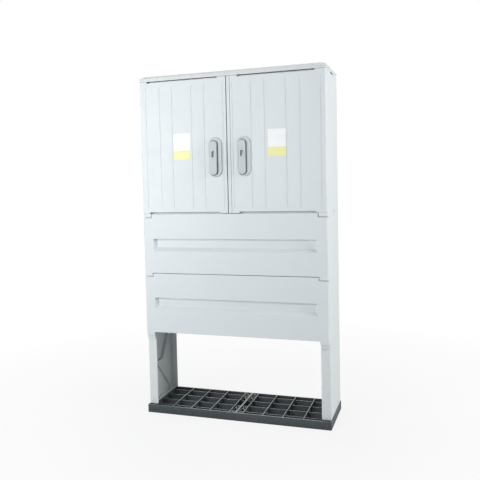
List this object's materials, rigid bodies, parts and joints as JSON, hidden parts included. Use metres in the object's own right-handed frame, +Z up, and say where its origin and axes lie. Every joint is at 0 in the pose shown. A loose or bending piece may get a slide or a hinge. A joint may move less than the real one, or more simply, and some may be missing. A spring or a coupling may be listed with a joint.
{
  "type": "roadside utility cabinet",
  "caption": "Free-standing two-door roadside cabinet on a ribbed base, with an open foot, lift-off front covers and swing handles that work lock rods.",
  "frame": {"origin": "on the ground, below the middle of the cabinet's plan", "axes": "+X to the right as seen from the front, +Y to the back, +Z up"},
  "size_m": [0.806, 0.2696, 1.45],
  "materials": {
    "base": "dull, moulded",
    "shell": "fine moulded grain",
    "front": "fine moulded grain",
    "handle": "satin",
    "black_plastic": "satin",
    "zinc_steel": "zinc plated",
    "stainless": "satin",
    "lock": "nickel plated"
  },
  "bodies": {
    "body": {"base_clamp_bolts": "stainless", "base_clamp_nuts": "stainless", "cable_clamp_rail": "zinc_steel", "centre_post": "zinc_steel", "foundation_back_panel": "shell", "foundation_bolts": "stainless", "front_rail": "zinc_steel", "housing_back_panel": "shell", "housing_floor": "shell", "left_base_grid": "base", "left_foundation_wall": "shell", "left_hinge_pins": "stainless", "left_housing_wall": "shell", "left_mounting_plate": "zinc_steel", "left_pocket_wall": "shell", "module_bolts": "stainless", "module_nuts": "stainless", "mounting_plate_bolts": "stainless", "pocket_back_panel": "shell", "right_base_grid": "base", "right_foundation_wall": "shell", "right_hinge_pins": "stainless", "right_housing_wall": "shell", "right_mounting_plate": "zinc_steel", "right_pocket_wall": "shell", "roof": "shell", "top_rail": "zinc_steel"},
    "upper_cover": {"upper_cover": "front"},
    "lower_cover": {"lower_cover": "front"},
    "left_door": {"left_door": "front", "left_handle_plate": "handle", "left_lock_cylinder": "lock", "left_gear_case": "black_plastic", "left_gear_cover": "black_plastic", "left_rod_guides": "black_plastic"},
    "left_handle": {"left_handle_hub": "zinc_steel", "left_lever_pin": "zinc_steel", "left_drive_pinion": "zinc_steel"},
    "left_lever": {"left_lever": "handle"},
    "left_upper_rod": {"left_upper_rod": "zinc_steel"},
    "left_lower_rod": {"left_lower_rod": "zinc_steel"},
    "left_lock_plug": {"left_lock_plug": "lock"},
    "right_door": {"right_door": "front", "right_handle_plate": "handle", "right_lock_cylinder": "lock", "right_gear_case": "black_plastic", "right_gear_cover": "black_plastic", "right_rod_guides": "black_plastic"},
    "right_handle": {"right_handle_hub": "zinc_steel", "right_lever_pin": "zinc_steel", "right_drive_pinion": "zinc_steel"},
    "right_lever": {"right_lever": "handle"},
    "right_upper_rod": {"right_upper_rod": "zinc_steel"},
    "right_lower_rod": {"right_lower_rod": "zinc_steel"},
    "right_lock_plug": {"right_lock_plug": "lock"}
  },
  "joints": [
    {"name": "left_door_hinge", "type": "hinge", "parent": "body", "child": "left_door", "pos_m": [-0.393, -0.118, 1.1475], "axis": [0, 0, -1], "range_deg": [0, 115]},
    {"name": "left_handle_turn", "type": "hinge", "parent": "left_door", "child": "left_handle", "pos_m": [-0.0665, -0.13, 1.152], "axis": [0, 1, 0], "range_deg": [0, 90]},
    {"name": "left_lever_lift", "type": "hinge", "parent": "left_handle", "child": "left_lever", "pos_m": [-0.0665, -0.1366, 1.161], "axis": [-1, 0, 0], "range_deg": [0, 40]},
    {"name": "left_upper_rod_slide", "type": "slide", "parent": "left_door", "child": "left_upper_rod", "axis": [0, 0, -1], "range_m": [0, 0.022]},
    {"name": "left_lower_rod_slide", "type": "slide", "parent": "left_door", "child": "left_lower_rod", "axis": [0, 0, 1], "range_m": [0, 0.022]},
    {"name": "left_key_turn", "type": "hinge", "parent": "left_door", "child": "left_lock_plug", "pos_m": [-0.0665, -0.12, 1.111], "axis": [0, 1, 0], "range_deg": [0, 90]},
    {"name": "right_door_hinge", "type": "hinge", "parent": "body", "child": "right_door", "pos_m": [0.393, -0.118, 1.1475], "axis": [0, 0, 1], "range_deg": [0, 115]},
    {"name": "right_handle_turn", "type": "hinge", "parent": "right_door", "child": "right_handle", "pos_m": [0.0565, -0.13, 1.152], "axis": [0, -1, 0], "range_deg": [0, 90]},
    {"name": "right_lever_lift", "type": "hinge", "parent": "right_handle", "child": "right_lever", "pos_m": [0.0565, -0.1366, 1.161], "axis": [-1, 0, 0], "range_deg": [0, 40]},
    {"name": "right_upper_rod_slide", "type": "slide", "parent": "right_door", "child": "right_upper_rod", "axis": [0, 0, -1], "range_m": [0, 0.022]},
    {"name": "right_lower_rod_slide", "type": "slide", "parent": "right_door", "child": "right_lower_rod", "axis": [0, 0, 1], "range_m": [0, 0.022]},
    {"name": "right_key_turn", "type": "hinge", "parent": "right_door", "child": "right_lock_plug", "pos_m": [0.0565, -0.12, 1.111], "axis": [0, -1, 0], "range_deg": [0, 90]},
    {"name": "upper_cover_pull", "type": "slide", "parent": "body", "child": "upper_cover", "axis": [0, -1, 0], "range_m": [0, 0.08]},
    {"name": "lower_cover_pull", "type": "slide", "parent": "body", "child": "lower_cover", "axis": [0, -1, 0], "range_m": [0, 0.08]}
  ],
  "couplings": [
    {"joint": "left_upper_rod_slide", "follows": "left_handle_turn", "m_per_rad": 0.014},
    {"joint": "left_lower_rod_slide", "follows": "left_handle_turn", "m_per_rad": 0.014},
    {"joint": "right_upper_rod_slide", "follows": "right_handle_turn", "m_per_rad": 0.014},
    {"joint": "right_lower_rod_slide", "follows": "right_handle_turn", "m_per_rad": 0.014}
  ]
}
